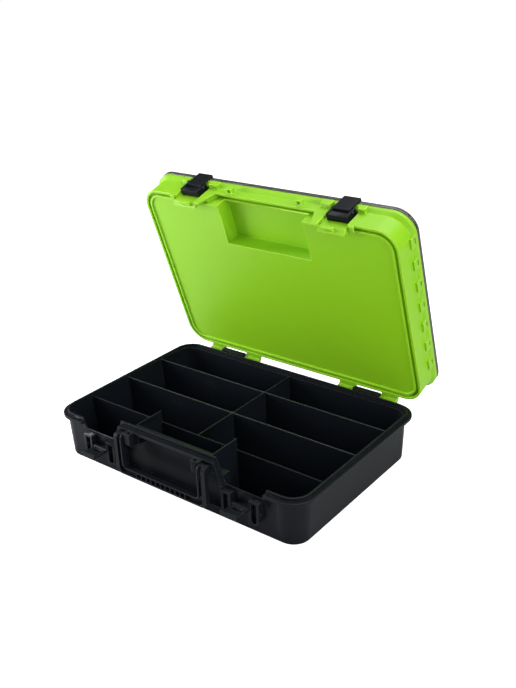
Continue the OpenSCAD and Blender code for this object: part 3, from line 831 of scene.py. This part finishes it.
class TACKLE_OT_handle(bpy.types.Operator):
    """Builds the carrying handle"""

    bl_idname = "tackle.handle"
    bl_label = "Handle"

    def execute(self, context):
        edges = context.scene.case_edges
        black_piece("handle", edges)
        return {"FINISHED"}


class TACKLE_OT_base_latches(bpy.types.Operator):
    """Builds the two latch levers of the base"""

    bl_idname = "tackle.base_latches"
    bl_label = "Base latches"

    def execute(self, context):
        edges = context.scene.case_edges
        for side in ("left", "right"):
            black_piece(f"base_latch_{side}", edges)
        return {"FINISHED"}


class TACKLE_OT_lid_shell(bpy.types.Operator):
    """Builds the lime lid with its tray"""

    bl_idname = "tackle.lid_shell"
    bl_label = "Lid shell"

    def execute(self, context):
        edges = context.scene.case_edges
        rounded_piece("lid_shell", lime_plastic(), edges.shell, edges.steps)
        return {"FINISHED"}


class TACKLE_OT_cover_latches(bpy.types.Operator):
    """Builds the cover's two latches and their brackets"""

    bl_idname = "tackle.cover_latches"
    bl_label = "Cover latches"

    def execute(self, context):
        edges = context.scene.case_edges
        for side in ("left", "right"):
            black_piece(f"cover_latch_bracket_{side}", edges)
            black_piece(f"cover_latch_{side}", edges)
        return {"FINISHED"}


def cover_rings(shape, half_x, front, back, bottom, top):
    """The cover's surface: rounded outlines, one ring for each point of its section.

    The section runs from the panel over the border, down the grooved edge and back under the skin.
    Each of its points is an inset from the outline and a height. The last value returned marks
    the faces of the rim.
    """
    panel, under = top - shape.step, top - shape.skin
    edge = shape.border + 2 * shape.step
    low, high = bottom + GROOVE_LOW * (top - bottom), bottom + GROOVE_HIGH * (top - bottom)
    lip = shape.groove
    section = [
        (edge + 0.004, panel), (edge, panel), (shape.border, top), (0, top), (0, high),
        (lip, high - lip), (lip, low + lip), (0, low), (0, bottom), (shape.rim, bottom),
        (shape.rim, under), (0.03, under),
    ]
    small = shape.round * 0.4
    radii = [0.0006, 0.0006, shape.round, small, small, small, small, shape.round, small, small]
    section = filleted(section, radii)
    around = 4 * POINTS_PER_CORNER
    rings = []
    for inset, z in section:
        outline = rounded_outline(half_x, front, back, shape.corner, inset)
        rings.append(np.column_stack([outline, np.full(around, z)]))
    faces = ring_faces(len(rings), around)[:, ::-1].tolist()
    faces.append(list(range(around)))
    faces.append(list(range((len(rings) - 1) * around, len(rings) * around))[::-1])
    on_rim = section[:, 0] < shape.rim + 1e-6
    dark = np.append(np.repeat(on_rim[:-1] & on_rim[1:], around), [False, False])
    return np.concatenate(rings), faces, dark


def cover_knuckle(x0, x1, pin_y, pin_z, low, high, steps=36):
    """A hinge tab with a barrel round the pin: its outline and the bore, at both ends.

    The outline is the barrel's circle, r (cos t, sin t), but for the side that looks at the cover,
    where it runs out to the tab's two corners. The three flat sides are divided, so that the bore,
    which has a point for each of the outline's, stays round.
    """
    start = math.pi - math.asin((high - pin_z) / BARREL_RADIUS)
    end = -math.pi + math.asin((pin_z - low) / BARREL_RADIUS)
    t = np.linspace(end, start, steps)
    circle = BARREL_RADIUS * np.column_stack([np.cos(t), np.sin(t)])
    top, foot = (-TAB_REACH, high - pin_z), (-TAB_REACH, low - pin_z)
    sides = [(circle[-1], top), (top, foot), (foot, circle[0])]
    flats = [np.linspace(a, b, 9)[1:] for a, b in sides]
    outer = np.concatenate([circle, *flats])[:-1]
    inner = BORE_RADIUS * outer / np.linalg.norm(outer, axis=1)[:, None]
    rings = []
    for x, ring in ((x0, inner), (x0, outer), (x1, outer), (x1, inner)):
        place = ring + (pin_y, pin_z)
        rings.append(np.column_stack([np.full(len(ring), x), place]))
    around = len(outer)
    i = np.arange(4)[:, None] * around
    k = (i + around) % (4 * around)
    j = np.arange(around)[None, :]
    n = (j + 1) % around
    faces = np.stack([i + j, i + n, k + n, k + j], axis=-1).reshape(-1, 4)
    return np.concatenate(rings), faces


class TACKLE_OT_cover(bpy.types.Operator):
    """Builds the clear cover over the lid's tray"""

    bl_idname = "tackle.cover"
    bl_label = "Cover"

    def execute(self, context):
        shape = context.scene.cover_shape
        node = frame["nodes"]["cover"]
        shut = turned_lid(read_array(node.data.vertices, "co", 3, np.float32), -LID_ANGLE)
        low, high = shut.min(axis=0), shut.max(axis=0)
        _, pin_y, pin_z = turned_lid([JOINTS["cover_hinge"]["pos_m"]], -LID_ANGLE)[0]
        bottom, back = pin_z - PIN_ABOVE_COVER, pin_y - PIN_BEHIND_COVER
        points, faces, dark = cover_rings(shape, high[0], low[1], back, bottom, high[2])
        panel = make_piece(
            "cover_panel", turned_lid(points, LID_ANGLE), faces, "cover",
            smoke_plastic(), smooth_angle=25.0,
        )
        panel.data.materials.append(smoke_rim())
        panel.data.polygons.foreach_set("material_index", dark.astype(np.int32))
        places = {
            "left": (-KNUCKLE_OUTER, -KNUCKLE_INNER),
            "right": (KNUCKLE_INNER, KNUCKLE_OUTER),
        }
        for name, (x0, x1) in places.items():
            points, faces = cover_knuckle(x0, x1, pin_y, pin_z, bottom, bottom + shape.tab)
            make_piece(
                f"cover_knuckle_{name}", turned_lid(points, LID_ANGLE), faces, "cover",
                smoke_rim(),
            )
        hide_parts("cover")
        return {"FINISHED"}


class TACKLE_OT_pins(bpy.types.Operator):
    """Gives the steel pins their finish"""

    bl_idname = "tackle.pins"
    bl_label = "Pins"

    def execute(self, context):
        for name, node in frame["nodes"].items():
            if "_pin_" in name:
                node.data.materials.clear()
                node.data.materials.append(steel())
        return {"FINISHED"}


# ---------------------------------------------------------------- the stage


CASE_CENTRE = (0.0, 0.0, 0.12)
# Each lamp's name, its place, the point that it looks at, its width and height, and its power.
LAMPS = (
    ("Key", (-0.9, -1.1, 1.6), CASE_CENTRE, (1.2, 1.2), 8.0),
    ("Left", (-0.88, -0.38, 0.28), (-0.1, 0.15, 0.2), (0.8, 0.5), 12.0),
    ("Side", (1.8, -0.4, 0.9), CASE_CENTRE, (1.2, 1.2), 28.0),
    ("Top", (0.1, 0.5, 1.8), CASE_CENTRE, (1.8, 1.4), 27.0),
)
FLOOR_REACH = 40.0
FLOOR_DROP = 0.0002


def lamp(name, place, aim, size, power):
    """A soft white area lamp that looks at a point."""
    light = bpy.data.lights.new(name, "AREA")
    light.shape = "RECTANGLE"
    light.size, light.size_y = size
    light.energy = power
    holder = bpy.data.objects.new(name, light)
    bpy.context.scene.collection.objects.link(holder)
    holder.location = place
    holder.rotation_mode = "QUATERNION"
    holder.rotation_quaternion = (Vector(aim) - Vector(place)).to_track_quat("-Z", "Y")


def make_camera(stage):
    """The camera: it looks along its azimuth and down by its elevation, tilted by its roll."""
    a, e = stage.azimuth, stage.elevation
    ahead = Vector((-math.sin(a) * math.cos(e), math.cos(a) * math.cos(e), -math.sin(e)))
    right = Vector((math.cos(a), math.sin(a), 0))
    up = right.cross(ahead)
    c, s = math.cos(stage.roll), math.sin(stage.roll)
    turned = Matrix((c * right + s * up, c * up - s * right, -ahead)).transposed().to_4x4()
    turned.translation = Vector(stage.eye)
    data = bpy.data.cameras.new("Camera")
    data.lens = stage.lens
    data.clip_start = 0.01
    camera = bpy.data.objects.new("Camera", data)
    bpy.context.scene.collection.objects.link(camera)
    camera.matrix_world = turned
    bpy.context.scene.camera = camera


def make_world(stage):
    """Soft light from all round, which the camera sees as white, also through clear plastic."""
    world = bpy.data.worlds.new("Studio")
    bpy.context.scene.world = world
    world.use_nodes = True
    tree = world.node_tree
    background = tree.nodes["Background"]
    background.inputs["Color"].default_value = (1.0, 1.0, 1.0, 1)
    path = node_in(tree, "ShaderNodeLightPath").outputs
    seen = math_in(tree, "MAXIMUM", path["Is Camera Ray"], path["Is Transmission Ray"])
    strength = math_in(tree, "MULTIPLY_ADD", seen, 1.0 - stage.ambient)
    strength.node.inputs[2].default_value = stage.ambient
    tree.links.new(strength, background.inputs["Strength"])


def make_floor():
    """A wide pale floor that the camera sees as white, in which the case's shadow is lost."""
    corners = ((-1, -1), (1, -1), (1, 1), (-1, 1))
    points = [(x * FLOOR_REACH, y * FLOOR_REACH, -FLOOR_DROP) for x, y in corners]
    mesh = bpy.data.meshes.new("Floor")
    mesh.from_pydata(points, [], [(0, 1, 2, 3)])
    floor = bpy.data.objects.new("Floor", mesh)
    bpy.context.scene.collection.objects.link(floor)
    material, tree, shader = blank_material("pale_floor")
    shader.inputs["Base Color"].default_value = (0.66, 0.66, 0.66, 1)
    shader.inputs["Roughness"].default_value = 0.9
    shader.inputs["Specular IOR Level"].default_value = 0.0
    shader.inputs["Emission Color"].default_value = (1, 1, 1, 1)
    seen = node_in(tree, "ShaderNodeLightPath").outputs["Is Camera Ray"]
    tree.links.new(math_in(tree, "MULTIPLY", seen, 0.90), shader.inputs["Emission Strength"])
    mesh.materials.append(material)


class TACKLE_OT_stage(bpy.types.Operator):
    """Builds the camera, the lamps, the floor and the studio's light"""

    bl_idname = "tackle.stage"
    bl_label = "Stage"

    def execute(self, context):
        stage = context.scene.case_stage
        make_camera(stage)
        make_world(stage)
        make_floor()
        for name, place, aim, size, power in LAMPS:
            lamp(name, place, aim, size, power)
        view = context.scene.view_settings
        view.view_transform = "Standard"
        return {"FINISHED"}


# ---------------------------------------------------------------- the add-on

PROPERTIES = {
    "case_edges": CaseEdges,
    "case_finish": CaseFinish,
    "cover_shape": CoverShape,
    "divider_ribs": DividerRibs,
    "case_stage": CaseStage,
}
OPERATORS = (
    TACKLE_OT_stage,
    TACKLE_OT_base_shell,
    TACKLE_OT_dividers,
    TACKLE_OT_divider_ribs,
    TACKLE_OT_handle,
    TACKLE_OT_base_latches,
    TACKLE_OT_lid_shell,
    TACKLE_OT_cover_latches,
    TACKLE_OT_cover,
    TACKLE_OT_pins,
)


class TACKLE_PT_case(bpy.types.Panel):
    """Lists the case's sizes and pieces"""

    bl_idname = "TACKLE_PT_case"
    bl_label = "Tackle Case"
    bl_space_type = "VIEW_3D"
    bl_region_type = "UI"
    bl_category = "Tackle Case"

    def draw(self, context):
        for key, group in PROPERTIES.items():
            values = getattr(context.scene, key)
            box = self.layout.box()
            for name in group.__annotations__:
                box.prop(values, name)
        for operator in OPERATORS:
            self.layout.operator(operator.bl_idname)


CLASSES = (*PROPERTIES.values(), *OPERATORS, TACKLE_PT_case)


def register():
    for cls in CLASSES:
        bpy.utils.register_class(cls)
    for key, group in PROPERTIES.items():
        setattr(bpy.types.Scene, key, PointerProperty(type=group))


def unregister():
    for key in PROPERTIES:
        delattr(bpy.types.Scene, key)
    for cls in reversed(CLASSES):
        bpy.utils.unregister_class(cls)


def main():
    """Registers the add-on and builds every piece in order."""
    register()
    for operator in OPERATORS:
        group, name = operator.bl_idname.split(".")
        getattr(getattr(bpy.ops, group), name)()


if __name__ == "__main__":
    main()
